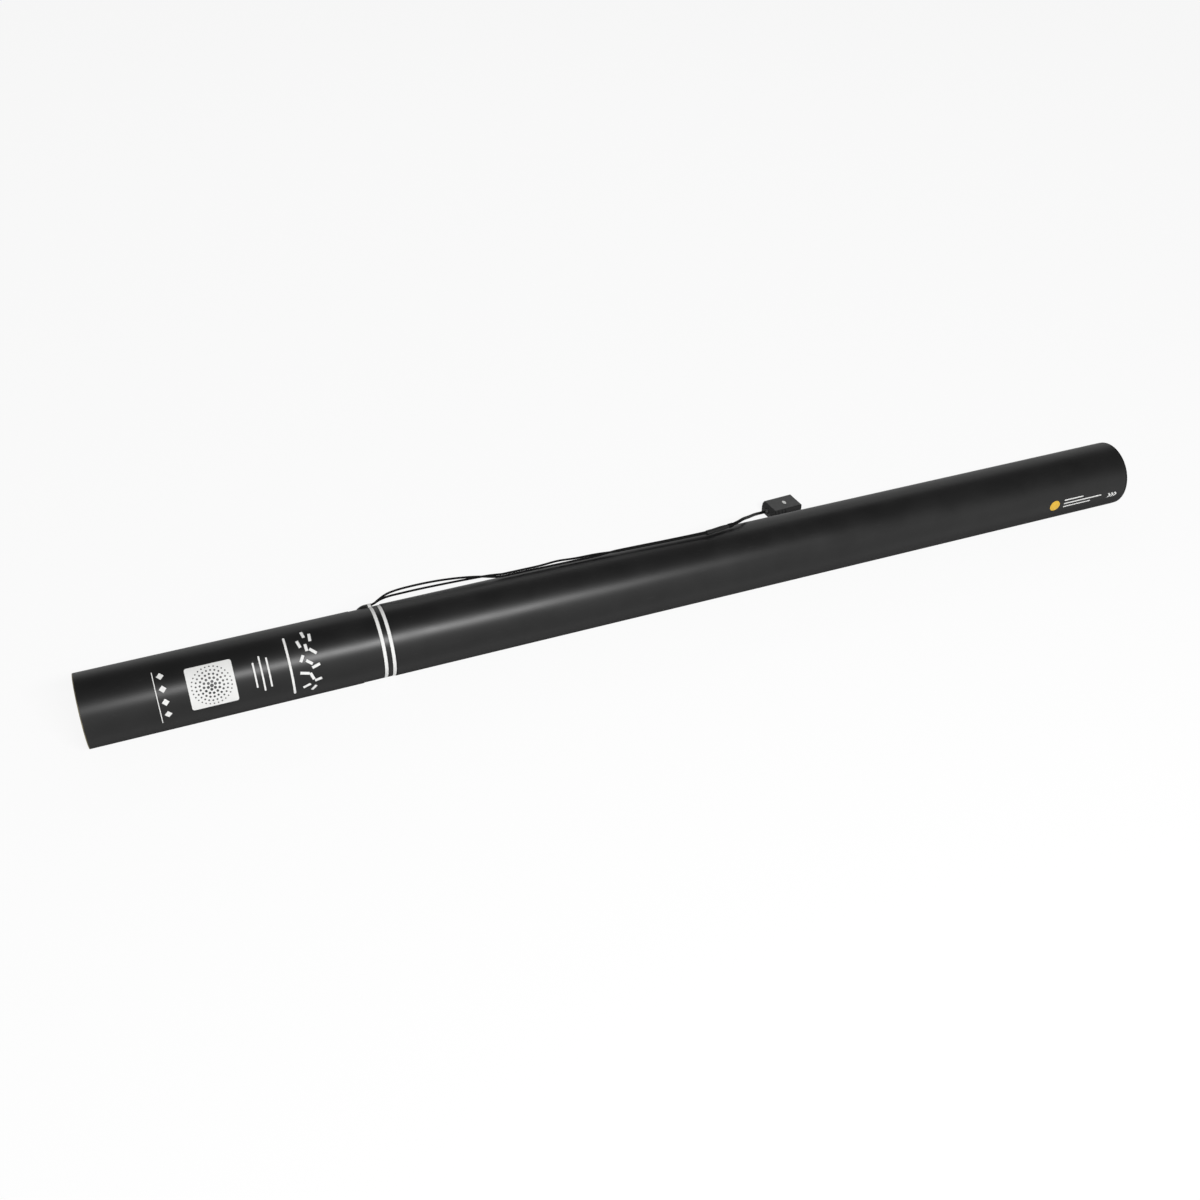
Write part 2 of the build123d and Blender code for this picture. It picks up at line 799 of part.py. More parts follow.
def write(name, piece, carry):
    """Writes one node: a single solid, or a group of separate solids."""
    if isinstance(piece, list):
        solids = [carry(member).solid() for member in piece]
        export_step(Compound(children=solids), f"parts/{name}.step")
    else:
        export_step(carry(piece).solid(), f"parts/{name}.step")


os.makedirs("parts", exist_ok=True)
for name, piece in barrel_pieces.items():
    write(name, piece, place)
for name, piece in lead_pieces.items():
    write(name, piece, lambda shape: shape)
for name, piece in plug_pieces.items():
    write(name, piece, plug_place)
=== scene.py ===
import json
import math
import random

import bmesh
import bpy
from mathutils import Matrix, Vector, noise
from mathutils.bvhtree import BVHTree


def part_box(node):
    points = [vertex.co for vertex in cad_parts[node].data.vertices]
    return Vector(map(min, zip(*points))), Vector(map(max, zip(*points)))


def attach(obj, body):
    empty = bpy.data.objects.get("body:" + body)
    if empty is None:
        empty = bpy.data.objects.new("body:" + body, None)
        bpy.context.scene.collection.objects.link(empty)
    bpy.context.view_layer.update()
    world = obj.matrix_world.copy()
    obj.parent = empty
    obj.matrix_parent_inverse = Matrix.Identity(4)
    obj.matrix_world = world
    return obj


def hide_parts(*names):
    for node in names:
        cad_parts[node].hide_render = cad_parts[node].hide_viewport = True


# The look of a confetti cannon: a black paperboard barrel with white print, its lead and flat plug, and the
# foil slips that it holds. Sizes are in millimetres, and MM carries them to the frame's metres.
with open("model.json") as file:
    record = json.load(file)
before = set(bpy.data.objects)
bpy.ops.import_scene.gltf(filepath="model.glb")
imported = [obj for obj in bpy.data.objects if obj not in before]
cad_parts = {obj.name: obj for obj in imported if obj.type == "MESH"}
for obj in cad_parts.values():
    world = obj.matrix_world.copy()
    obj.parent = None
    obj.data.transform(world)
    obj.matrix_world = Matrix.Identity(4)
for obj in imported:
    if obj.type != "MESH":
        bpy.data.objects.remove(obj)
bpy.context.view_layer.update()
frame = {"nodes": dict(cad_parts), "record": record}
MM = 0.001

# Places read from the frame
barrel_low, barrel_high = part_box("barrel_tube")
tube_radius = (barrel_high.y - barrel_low.y) / 2
axis_height = (barrel_high.z + barrel_low.z) / 2
base_end = barrel_low.x
wrap_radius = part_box("base_wrap")[1].y
exit_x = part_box("exit_grommet")[1].x

# Turn past the top, towards +Y, at which the wires leave the barrel; the slips are stacked along it
exit_turn = math.radians(37.0)

# Lead: diameters, how the two wires of the pair lie, and the lengths of the cords in metres
wire_diameter = 1.5
plug_lead_diameter = 2.4
strand_offset = 0.8
closed_length = 19.0
open_end = 64.0
open_lift = 0.8
turn_down_length = 24.0
strand_step = 1.6

# Ink: how far it stands above the paper and reaches into it, and how far apart it bends round the barrel
ink_rise = 0.05
ink_depth = 0.04
ink_facet = 1.0

# Stripes, by their distance from the base end
stripe_starts = (191.9, 197.5)
stripe_width = 2.2

# Barrel's paper: where the wear of the base end is full and where it stops, and the depths between which the
# black ply gives way to board
wear_full = 0.4
wear_none = 0.7
ply_depth = 0.55
board_depth = 0.75

# Foil slips, stacked in packets, and how far chance turns (in degrees), nudges and bows each one
charge_rows = 6
slip_length = 55.0
slip_width = 17.0
slip_margin = 0.15
slip_segments = 5
packets = 5
slips_per_packet = 16
packet_height = 26.0 / packets
packet_shift = 0.8
slip_spacing = packet_height / slips_per_packet
slip_thickness = 0.45 * slip_spacing
slip_turn = 0.9
slip_nudge = 0.7
slip_bow = 0.1

# Camera, as the photograph was taken
camera_place = Vector((-340.586, -738.828, 590.670)) * MM
camera_yaw = 0.3820
camera_pitch = 0.6247
camera_lens = 40.936
sensor_width = 36.0


# Materials

def grey(level):
    return (level, level, level)


black_paper = grey(0.0076)
faded_paper = grey(0.0100)
scuffed_paper = grey(0.05)
worn_edge = (0.17, 0.15, 0.09)
kraft = (0.40, 0.27, 0.155)
kraft_ply = (0.30, 0.195, 0.105)


class Finish:
    """A procedural material: one shader, and the nodes that vary it over the surface."""

    def __init__(self, name, colour, roughness, **constants):
        self.material = bpy.data.materials.new(name)
        self.material.use_nodes = True
        self.tree = self.material.node_tree
        self.shader = self.tree.nodes["Principled BSDF"]
        self.set("Base Color", (*colour, 1))
        self.set("Roughness", roughness)
        for socket, value in constants.items():
            self.set(socket.replace("_", " "), value)
        self.place = self.add("ShaderNodeTexCoord").outputs["Object"]

    def set(self, socket, value):
        self.shader.inputs[socket].default_value = value

    def add(self, kind, inputs=None, **settings):
        node = self.tree.nodes.new(kind)
        for key, value in settings.items():
            setattr(node, key, value)
        for socket, value in (inputs or {}).items():
            if isinstance(value, bpy.types.NodeSocket):
                self.tree.links.new(value, node.inputs[socket])
            else:
                node.inputs[socket].default_value = value
        return node

    def drive(self, socket, source):
        self.tree.links.new(source, self.shader.inputs[socket])

    def noise(self, size, detail=3.0, stretch=(1, 1, 1), seed=0.0):
        """Noise whose blotches are about this many millimetres, drawn out along the axes by stretch."""
        scale = tuple(1 / (size * MM * each) for each in stretch)
        mapped = self.add("ShaderNodeMapping", {"Vector": self.place, "Scale": scale,
                                                "Location": (seed, seed, seed)})
        found = self.add("ShaderNodeTexNoise", {"Vector": mapped.outputs[0], "Scale": 1.0, "Detail": detail})
        return found.outputs[0]

    def span(self, source, low, high, start=0.0, end=1.0):
        """The source's stretch from low to high, as start to end, held outside it."""
        return self.add("ShaderNodeMapRange", {0: source, 1: low, 2: high, 3: start, 4: end}).outputs[0]

    def math(self, operation, first, second=0.0):
        return self.add("ShaderNodeMath", {0: first, 1: second}, operation=operation).outputs[0]

    def mix(self, mask, first, second):
        """A colour between two, each a colour or a socket."""
        node = self.add("ShaderNodeMix", {"Factor": mask}, data_type="RGBA")
        for index, value in ((6, first), (7, second)):
            if isinstance(value, bpy.types.NodeSocket):
                self.tree.links.new(value, node.inputs[index])
            else:
                node.inputs[index].default_value = (*value, 1)
        return node.outputs[2]

    def vary(self, mask, first, second):
        """Takes the surface's colour from one to the other by a mask."""
        self.drive("Base Color", self.mix(mask, first, second))

    def bump(self, height, depth, strength=1.0):
        """Relief of this many millimetres for each unit of height."""
        node = self.add("ShaderNodeBump", {"Height": height, "Strength": strength, "Distance": depth * MM})
        self.drive("Normal", node.outputs[0])

    def along(self):
        """The surface's distance along the barrel."""
        return self.add("ShaderNodeSeparateXYZ", {0: self.place}).outputs[0]

    def radius(self):
        """The surface's distance from the barrel's axis."""
        axis = (0, 0, axis_height)
        moved = self.add("ShaderNodeVectorMath", {0: self.place, 1: axis}, operation="SUBTRACT")
        flat = self.add("ShaderNodeVectorMath", {0: moved.outputs[0], 1: (0, 1, 1)}, operation="MULTIPLY")
        return self.add("ShaderNodeVectorMath", {0: flat.outputs[0]}, operation="LENGTH").outputs["Value"]

    def upward(self):
        """How far the surface faces up, from minus one to one."""
        normal = self.add("ShaderNodeTexCoord").outputs["Normal"]
        return self.add("ShaderNodeSeparateXYZ", {0: normal}).outputs[2]


def satin_paper(name):
    """Black laminated paper: a soft sheen, weaker underneath and duller at a glancing view, faint fibres, and
    bare board inside and on the cut ends."""
    finish = Finish(name, black_paper, 0.37)

    # Black ply, a little faded in clouds and scuffed
    cloud = finish.noise(26.0, 2.0)
    scuffs = finish.span(finish.noise(1.1, 4.0, (9, 1, 1), seed=3.0), 0.66, 0.76)
    tone = finish.mix(finish.span(cloud, 0.35, 0.65), black_paper, faded_paper)
    tone = finish.mix(finish.math("MULTIPLY", scuffs, 0.15), tone, scuffed_paper)

    # Bare board, in worn patches at the base end and everywhere under the black ply
    rim = finish.span(finish.along(), base_end + wear_none * MM, base_end + wear_full * MM)
    patches = finish.span(finish.noise(5.0, 2.0, seed=7.0), 0.32, 0.6, 0.35, 1.0)
    inside = finish.span(finish.radius(), tube_radius - ply_depth * MM, tube_radius - board_depth * MM)
    plies = finish.span(finish.noise(0.28, 2.0, (60, 1, 1), seed=1.0), 0.35, 0.65)
    board = finish.mix(plies, kraft, kraft_ply)
    bare = finish.math("MAXIMUM", finish.math("MULTIPLY", rim, patches), inside)
    finish.vary(bare, tone, finish.mix(inside, worn_edge, board))

    # Sheen
    upward = finish.upward()
    facing = finish.add("ShaderNodeLayerWeight", {"Blend": 0.5}).outputs["Facing"]
    underside = finish.span(upward, 0.1, 0.7, 1.0, 0.3)
    duller = finish.math("MULTIPLY", finish.span(facing, 0.35, 0.75, 0.0, 0.5), underside)
    rough = finish.span(cloud, 0.3, 0.7, 0.355, 0.39)
    rough = finish.math("ADD", rough, finish.math("MULTIPLY", scuffs, 0.05))
    rough = finish.math("ADD", rough, duller)
    finish.drive("Roughness", finish.math("MAXIMUM", rough, finish.math("MULTIPLY", bare, 0.85)))
    finish.drive("Specular IOR Level", finish.span(upward, -0.3, 0.35, 0.16, 0.31))

    # Fibres on a slow wave
    fibre = finish.noise(0.35, 3.0, (4, 1, 1))
    wave = finish.noise(34.0, 1.0, (2.5, 1, 1), seed=5.0)
    finish.bump(finish.math("ADD", finish.math("MULTIPLY", wave, 45.0), fibre), 0.012, 0.8)
    return finish.material


def white_ink():
    finish = Finish("white_ink", (0.64, 0.64, 0.63), 0.6, Specular_IOR_Level=0.12)
    grain = finish.noise(0.3, 3.0)
    finish.vary(finish.span(grain, 0.3, 0.7), (0.61, 0.61, 0.60), (0.67, 0.67, 0.66))
    finish.bump(grain, 0.01, 0.4)
    return finish.material


def dyed_ink(name, colour, deep, pale):
    """Ink with a fine grain between two tones of its colour."""
    finish = Finish(name, colour, 0.45)
    finish.vary(finish.noise(0.3, 3.0), deep, pale)
    return finish.material


def moulded_plastic(name, colour, pale, roughness, **constants):
    """Moulded plastic with a fine spark-eroded grain, paler where it is rubbed."""
    finish = Finish(name, colour, roughness, **constants)
    grain = finish.noise(0.25, 4.0)
    cloud = finish.noise(6.0, 2.0, seed=2.0)
    finish.vary(finish.span(cloud, 0.35, 0.7), colour, pale)
    finish.drive("Roughness", finish.span(cloud, 0.3, 0.7, roughness - 0.04, roughness + 0.05))
    finish.bump(grain, 0.02, 0.5)
    return finish.material


def plug_plastic():
    """The plug's dark moulded plastic, painted paler on its flat top as painted top light, a little uneven in
    clouds.
    """
    dark = grey(0.011)
    top_light_grey = grey(0.068)
    finish = Finish("plug_plastic", dark, 0.5, Specular_IOR_Level=0.2)
    grain = finish.noise(0.25, 4.0)
    cloud = finish.noise(5.0, 2.0, seed=2.0)
    # Painted light: the flat top is painted paler, as if lit from above, unevenly in clouds.
    flat_top = finish.span(finish.upward(), 0.6, 0.95)
    painted_top_light = finish.math("MULTIPLY", flat_top, finish.span(cloud, 0.25, 0.75, 0.8, 1.0))
    finish.vary(painted_top_light, dark, top_light_grey)
    finish.drive("Roughness", finish.span(grain, 0.3, 0.7, 0.46, 0.56))
    finish.bump(grain, 0.02, 0.5)
    return finish.material


def metal(name, colour, roughness, brushed=(1, 1, 1)):
    """Bare metal with tool marks, drawn out along the axes by brushed."""
    finish = Finish(name, colour, roughness, Metallic=1.0)
    marks = finish.noise(0.12, 3.0, brushed)
    darker = tuple(0.8 * each for each in colour)
    finish.vary(marks, darker, colour)
    finish.drive("Roughness", finish.span(marks, 0.3, 0.7, roughness - 0.06, roughness + 0.08))
    finish.bump(marks, 0.006, 0.4)
    return finish.material


def card_board():
    finish = Finish("kraft_board", kraft, 0.85)
    fibre = finish.noise(0.5, 4.0, (6, 1, 1))
    finish.vary(finish.span(fibre, 0.3, 0.7), (0.33, 0.215, 0.12), (0.46, 0.32, 0.19))
    finish.bump(fibre, 0.04, 0.6)
    return finish.material


def foam_cells():
    finish = Finish("foam", (0.05, 0.05, 0.055), 0.9)
    cells = finish.add("ShaderNodeTexVoronoi", {"Vector": finish.place, "Scale": 1 / (0.9 * MM)})
    pits_and_shade = finish.span(cells.outputs["Distance"], 0.1, 0.6)
    # Painted shade: the pits are painted darker than the cell walls between them.
    finish.vary(pits_and_shade, (0.03, 0.03, 0.033), (0.075, 0.075, 0.08))
    finish.bump(pits_and_shade, 0.15, 0.7)
    return finish.material


def felt_fibres():
    finish = Finish("felt", (0.42, 0.40, 0.37), 0.95, Sheen_Weight=0.4)
    fibre = finish.noise(0.45, 6.0, (1, 3, 1))
    finish.vary(finish.span(fibre, 0.3, 0.7), (0.30, 0.28, 0.26), (0.54, 0.52, 0.48))
    finish.bump(fibre, 0.2, 0.8)
    return finish.material


def rubber():
    finish = Finish("black_rubber", grey(0.016), 0.62)
    dust = finish.noise(0.4, 4.0)
    finish.vary(finish.span(dust, 0.45, 0.8), grey(0.013), grey(0.03))
    finish.bump(dust, 0.02, 0.4)
    return finish.material


def wire_jacket():
    """Flexible jacket: dull, with drawing marks along it."""
    finish = Finish("lead_jacket", grey(0.005), 0.58, Specular_IOR_Level=0.05)
    marks = finish.noise(0.4, 3.0, (8, 1, 1))
    finish.vary(marks, grey(0.0045), grey(0.008))
    finish.drive("Roughness", finish.span(marks, 0.3, 0.7, 0.53, 0.64))
    finish.bump(marks, 0.02, 0.4)
    return finish.material


def shrunk_sleeve():
    finish = Finish("shrink_sleeve", grey(0.016), 0.55, Specular_IOR_Level=0.12)
    wrinkle = finish.noise(1.1, 3.0, (0.5, 2, 2))
    finish.vary(wrinkle, grey(0.013), grey(0.020))
    finish.bump(wrinkle, 0.05, 0.5)
    return finish.material


def clear_nylon():
    finish = Finish("nylon_link", (0.80, 0.80, 0.74), 0.3, Transmission_Weight=0.35, IOR=1.53)
    marks = finish.noise(0.3, 2.0, (1, 6, 1))
    finish.drive("Roughness", finish.span(marks, 0.3, 0.7, 0.24, 0.36))
    return finish.material


def resistor_lacquer():
    """Tan lacquer with a fine grain."""
    finish = Finish("resistor", (0.62, 0.48, 0.28), 0.35)
    grain = finish.noise(0.2, 2.0)
    finish.vary(grain, (0.55, 0.42, 0.24), (0.68, 0.54, 0.33))
    finish.bump(grain, 0.02, 0.4)
    return finish.material


def solder_mask():
    finish = Finish("circuit_board", (0.02, 0.14, 0.05), 0.35)
    weave = finish.noise(0.3, 2.0, (1, 1, 4))
    finish.vary(weave, (0.015, 0.11, 0.04), (0.03, 0.18, 0.07))
    finish.bump(weave, 0.01, 0.4)
    return finish.material


def red_foil():
    """Metallised red foil: each slip has a tone of its own, and its creases are painted darker in their
    hollows and lighter on their crests, as painted shade and highlight.
    """
    finish = Finish("red_foil", (0.62, 0.022, 0.008), 0.28, Metallic=0.9)
    each = finish.add("ShaderNodeNewGeometry").outputs["Random Per Island"]
    crease = finish.noise(14.0, 2.0, (2, 1, 1))
    # Painted shade and highlight: each slip's own tone on the creases' crests, a darker red in their hollows.
    slip_tone_and_highlight = finish.mix(each, (0.42, 0.008, 0.003), (0.72, 0.034, 0.012))
    finish.vary(finish.span(crease, 0.35, 0.65), (0.46, 0.010, 0.004), slip_tone_and_highlight)
    finish.drive("Roughness", finish.span(crease, 0.3, 0.7, 0.22, 0.36))
    finish.bump(crease, 0.2, 0.5)
    return finish.material


materials = {
    "wrapped_board": satin_paper("wrapped_board"),
    "printed_wrap": satin_paper("printed_wrap"),
    "black_plastic": moulded_plastic("black_plastic", grey(0.009), grey(0.013), 0.55,
                                     Specular_IOR_Level=0.12),
    "grey_plastic": moulded_plastic("grey_plastic", (0.26, 0.27, 0.28), (0.33, 0.34, 0.35), 0.5),
    "bottle_aluminium": metal("bottle_aluminium", (0.78, 0.79, 0.80), 0.32, (1, 8, 8)),
    "kraft_board": card_board(),
    "foam": foam_cells(),
    "felt": felt_fibres(),
    "black_rubber": rubber(),
    "copper_foil": metal("copper_foil", (0.72, 0.40, 0.25), 0.3),
    "steel": metal("steel", (0.60, 0.60, 0.61), 0.3, (1, 6, 6)),
    "spring_steel": metal("spring_steel", (0.42, 0.42, 0.43), 0.35),
    "nylon_link": clear_nylon(),
    "resistor": resistor_lacquer(),
    "circuit_board": solder_mask(),
    "lead_jacket": wire_jacket(),
    "shrink_sleeve": shrunk_sleeve(),
    "contact_brass": metal("contact_brass", (0.78, 0.58, 0.25), 0.3),
    "red_foil": red_foil(),
}
plug_finish = plug_plastic()
own_finishes = {"plug_shell_top": plug_finish, "plug_shell_bottom": plug_finish}
white_print = white_ink()
black_print = dyed_ink("black_ink", (0.02, 0.02, 0.021), (0.016, 0.016, 0.017), (0.026, 0.026, 0.027))
amber_print = dyed_ink("amber_ink", (0.60, 0.36, 0.02), (0.57, 0.335, 0.016), (0.63, 0.385, 0.026))


def dress_frame():
    """Gives each piece of the frame a finish of its own, or that of its slot."""
    for part in frame["record"]["subparts"]:
        piece = frame["nodes"][part["node"]]
        piece.data.materials.clear()
        piece.data.materials.append(own_finishes.get(part["node"], materials[part["material_slot"]]))


# Building pieces

def add_piece(name, mesh_or_curve, slot, body="cannon", material=None):
    """Adds a piece that rides on a body of the frame and takes its finish from a slot."""
    piece = bpy.data.objects.new(name, mesh_or_curve)
    bpy.context.scene.collection.objects.link(piece)
    mesh_or_curve.materials.append(material or materials[slot])
    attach(piece, body)
    return piece


def finished_mesh(name, shape, smooth=True):
    """A mesh from a bmesh, with its faces turned outward."""
    bmesh.ops.recalc_face_normals(shape, faces=shape.faces)
    mesh = bpy.data.meshes.new(name)
    shape.to_mesh(mesh)
    shape.free()
    mesh.polygons.foreach_set("use_smooth", [smooth] * len(mesh.polygons))
    return mesh


def turned(name, profile, segments, place=None, ripple=None):
    """A closed solid of revolution about the barrel's axis, or about place's X axis, from (along, radius)
    points whose ends lie on the axis. Ripple moves a point by its (along, angle)."""
    shape = bmesh.new()
    carry = place or Matrix.Translation((0, 0, axis_height))
    loops = []
    for along, radius in profile:
        if radius == 0:
            loops.append([shape.verts.new(carry @ Vector((along, 0, 0)))])
            continue
        loop = []
        for index in range(segments):
            turn = 2 * math.pi * index / segments
            reach = radius + (ripple(along, turn) if ripple else 0)
            point = Vector((along, reach * math.cos(turn), reach * math.sin(turn)))
            loop.append(shape.verts.new(carry @ point))
        loops.append(loop)
    for first, second in zip(loops, loops[1:]):
        for index in range(segments):
            after = (index + 1) % segments
            corners = [first[index % len(first)], first[after % len(first)],
                       second[after % len(second)], second[index % len(second)]]
            shape.faces.new(list(dict.fromkeys(corners)))
    return finished_mesh(name, shape)


# Lead

def over_tube(ahead, angle, rise):
    """A point over the barrel: a distance ahead of the grommet's face, an angle past the top towards +Y, and
    a rise above the barrel's surface."""
    turn = math.radians(angle)
    distance = tube_radius + rise * MM
    return Vector((exit_x + ahead * MM, distance * math.sin(turn), axis_height + distance * math.cos(turn)))


def ahead_of_exit(ahead, across, height):
    """A point from its distance ahead of the grommet's face."""
    return Vector((exit_x + ahead * MM, across * MM, height * MM))


wire_1_route = [
    over_tube(0, 34.84, 0.17),
    over_tube(5.4, 34.9, 0.6),
    over_tube(9.8, 34.9, 3.2),
    over_tube(15.5, 34.4, 5.8),
    over_tube(23.0, 33.6, 7.0),
    over_tube(33.5, 32.6, 7.4),
    over_tube(46.5, 31.2, 7.4),
    over_tube(59.5, 29.0, 6.7),
    over_tube(71.5, 26.0, 5.5),
    over_tube(82.0, 22.4, 4.0),
    over_tube(90.0, 19.6, 2.0),
]
wire_2_route = [
    over_tube(0, 39.16, 0.17),
    over_tube(5.4, 39.1, 0.6),
    over_tube(10.2, 39.0, 2.9),
    over_tube(16.8, 38.4, 4.0),
    over_tube(26.0, 37.6, 4.1),
    over_tube(38.5, 36.2, 4.2),
    over_tube(52.5, 33.8, 4.0),
    over_tube(65.5, 30.8, 3.8),
    over_tube(76.5, 27.6, 3.6),
    over_tube(85.0, 25.0, 3.5),
    over_tube(90.7, 22.6, 3.2),
]
pair_route = [
    over_tube(95.5, 20.0, 2.0),
    over_tube(120.5, 18.6, 2.1),
    over_tube(154.5, 16.6, 2.0),
    over_tube(191.5, 12.6, 2.1),
    over_tube(225.5, 8.8, 2.0),
    over_tube(252.5, 6.6, 2.2),
]
sleeve_length = 20.0
sleeve_flatness = 0.82
sleeve_heading = (over_tube(272.5, 13.4, 2.3) - pair_route[-1]).normalized()
sleeve_front = pair_route[-1] + sleeve_heading * sleeve_length * MM
plug_lead_route = [
    sleeve_front,
    over_tube(278.0, 15.8, 2.95),
    over_tube(284.0, 25.8, 3.0),
    over_tube(289.5, 41.5, 3.05),
    over_tube(297.5, 64.6, 7.1),
    ahead_of_exit(308.0, 42.5, 29.6),
    ahead_of_exit(318.5, 56.5, 20.2),
    ahead_of_exit(326.0, 66.0, 13.4),
    ahead_of_exit(330.5, 72.6, 8.8),
    ahead_of_exit(334.9, 77.0, 5.6),
    ahead_of_exit(340.7, 78.85, 4.5),
]

# Sleeve and its collar, as (along, radius) from the end of the pair's route, and the sleeve's wrinkles
sleeve_outline = [
    (-2.6, 0.0), (-2.6, 1.84), (-2.2, 1.98), (0.6, 1.94), (2.8, 1.84), (6.2, 1.88),
    (9.8, 1.92), (13.4, 1.84), (15.6, 1.66), (17.2, 1.6), (18.0, 1.5), (18.0, 0.0),
]
collar_outline = [
    (16.6, 0.0), (16.6, 1.66), (16.9, 1.82), (18.6, 1.86), (20.4, 1.78), (20.9, 1.6), (20.9, 0.0),
]
wrinkle_height = 0.05
wrinkle_lobes = 3
wrinkle_twist = 1.3
wrinkle_pitch = 0.9


def smooth_curve(name, points, diameter=0.0, steps=10):
    """A smooth curve that has these points as its control points."""
    data = bpy.data.curves.new(name, "CURVE")
    data.dimensions = "3D"
    data.bevel_depth = diameter * MM / 2
    data.bevel_resolution = 5
    data.use_fill_caps = True
    data.resolution_u = steps
    spline = data.splines.new("NURBS")
    spline.points.add(len(points) - 1)
    for place, point in zip(spline.points, points):
        place.co = (*point, 1)
    spline.order_u = 3
    spline.use_endpoint_u = True
    return data


def line_through(points):
    """Points close together along the smooth curve of a route."""
    carrier = bpy.data.objects.new("route", smooth_curve("route", points, steps=60))
    mesh = bpy.data.meshes.new_from_object(carrier)
    line = [vertex.co.copy() for vertex in mesh.vertices]
    bpy.data.objects.remove(carrier)
    return line


def share_of(travelled, start, end):
    """How far a stretch has been travelled, from zero to one, slow at both ends."""
    share = min(max((travelled - start) / (end - start), 0), 1)
    return share * share * (3 - 2 * share)


def strand(line, side):
    """One wire of the twisted pair: the two run one above the other, open with the upper one standing away,
    and then turn down beside each other on the barrel."""
    points = []
    travelled = 0.0
    due = 0.0
    for before, here in zip(line, line[1:]):
        travelled += (here - before).length / MM
        if travelled < due:
            continue
        due += strand_step
        turned_down = share_of(travelled, open_end, open_end + turn_down_length)
        turn = math.pi + math.pi / 2 * turned_down
        within = share_of(travelled, closed_length, open_end)
        lift = open_lift * math.sin(math.pi * within) ** 2 if side < 0 else 0
        heading = (here - before).normalized()
        outward = Vector((0, here.y, here.z - axis_height))
        outward = (outward - outward.dot(heading) * heading).normalized()
        sideways = heading.cross(outward)
        spoke = math.cos(turn) * outward + math.sin(turn) * sideways
        points.append(here + (side * strand_offset * spoke + lift * outward) * MM)
    return points


def lead_pieces():
    """The two wires, each whole from the grommet to the splice, and the lead from there to the plug."""
    pair_line = line_through(pair_route)
    for name, route, side in (("wire_1", wire_1_route, 1), ("wire_2", wire_2_route, -1)):
        curve = smooth_curve(name, route + strand(pair_line, side), wire_diameter)
        add_piece(name, curve, "lead_jacket")
    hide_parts("lead_wire_1", "twisted_pair")
    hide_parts("lead_wire_2")
    sleeve, collar = splice_sleeve()
    lead_curve = smooth_curve("plug_lead_jacket", plug_lead_route, plug_lead_diameter)
    lead = add_piece("plug_lead_jacket", lead_curve, "lead_jacket")
    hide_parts("plug_lead")


def splice_sleeve():
    """The heat-shrunk sleeve, flattened by the wires inside it and fuller over their crimps, with a short
    dark collar that closes its front end."""
    across = sleeve_heading.cross(Vector((0, 0, 1))).normalized()
    upward = across.cross(sleeve_heading)
    place = Matrix((sleeve_heading, -across, upward)).transposed().to_4x4()
    place.translation = pair_route[-1]
    place = place @ Matrix.Diagonal((1, 1, sleeve_flatness, 1))

    def wrinkle(along, turn):
        round_wave = math.sin(wrinkle_lobes * turn + along / (wrinkle_twist * MM))
        return wrinkle_height * MM * round_wave * math.sin(along / (wrinkle_pitch * MM))

    pieces = []
    for name, outline, slot in (("splice_shrink", sleeve_outline, "shrink_sleeve"),
                                ("splice_collar", collar_outline, "lead_jacket")):
        profile = [(along * MM, radius * MM) for along, radius in outline]
        mesh = turned(name, profile, segments=32, place=place, ripple=wrinkle)
        pieces.append(add_piece(name, mesh, slot))
    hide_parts("splice_sleeve")
    return pieces


# Print

def on_barrel(station, arc, radius, rise=0.0):
    """A point on a round surface of the barrel: its station from the base end, and its distance round from
    the top towards +Y."""
    turn = arc * MM / radius
    reach = radius + rise * MM
    return Vector((base_end + station * MM, reach * math.sin(turn), axis_height + reach * math.cos(turn)))


def printed(name, shapes, radius, ink, slot, layer=0):
    """Thin ink on the barrel, from flat outlines of (station, arc) points, bent round it. A higher layer
    stands further out."""
    sheet = bmesh.new()
    for shape in shapes:
        sheet.faces.new([sheet.verts.new((station, arc, 0)) for station, arc in shape])
    arcs = [vertex.co.y for vertex in sheet.verts]
    line = min(arcs) + ink_facet / 3
    while line < max(arcs):
        bmesh.ops.bisect_plane(sheet, geom=sheet.verts[:] + sheet.edges[:] + sheet.faces[:],
                               plane_co=(0, line, 0), plane_no=(0, 1, 0))
        line += ink_facet
    bmesh.ops.recalc_face_normals(sheet, faces=sheet.faces)
    grown = bmesh.ops.extrude_face_region(sheet, geom=sheet.faces[:])
    raised = {part for part in grown["geom"] if isinstance(part, bmesh.types.BMVert)}
    for vertex in sheet.verts:
        rise = ink_rise * (1 + layer / 2) if vertex in raised else -ink_depth
        vertex.co = on_barrel(vertex.co.x, vertex.co.y, radius, rise)
    return add_piece(name, finished_mesh(name, sheet, smooth=False), slot, material=ink)


def bar(station, arc, length, width, tilt=0.0, corner=0.0):
    """A straight mark, centred on a point: its length runs round the barrel, or along it at a tilt of 90."""
    turn = math.radians(tilt)
    corner_steps = 5 if corner else 1
    outline = []
    for across, up, first in ((1, 1, 0), (-1, 1, 90), (-1, -1, 180), (1, -1, 270)):
        for step in range(corner_steps):
            angle = math.radians(first + step * 22.5)
            x = across * (width / 2 - corner) + corner * math.cos(angle)
            y = up * (length / 2 - corner) + corner * math.sin(angle)
            outline.append((station + x * math.cos(turn) - y * math.sin(turn),
                            arc + x * math.sin(turn) + y * math.cos(turn)))
    return outline


def disc(station, arc, size, points=20):
    """A round mark of this diameter."""
    outline = []
    for index in range(points):
        turn = 2 * math.pi * index / points
        outline.append((station + size / 2 * math.cos(turn), arc + size / 2 * math.sin(turn)))
    return outline


def diamond_row():
    """Four diamonds in a row round the barrel."""
    station = 51.4
    first_arc = -12.4
    spacing = 8.6
    side = 3.4
    return [bar(station, first_arc - index * spacing, side, side, tilt=45) for index in range(4)]


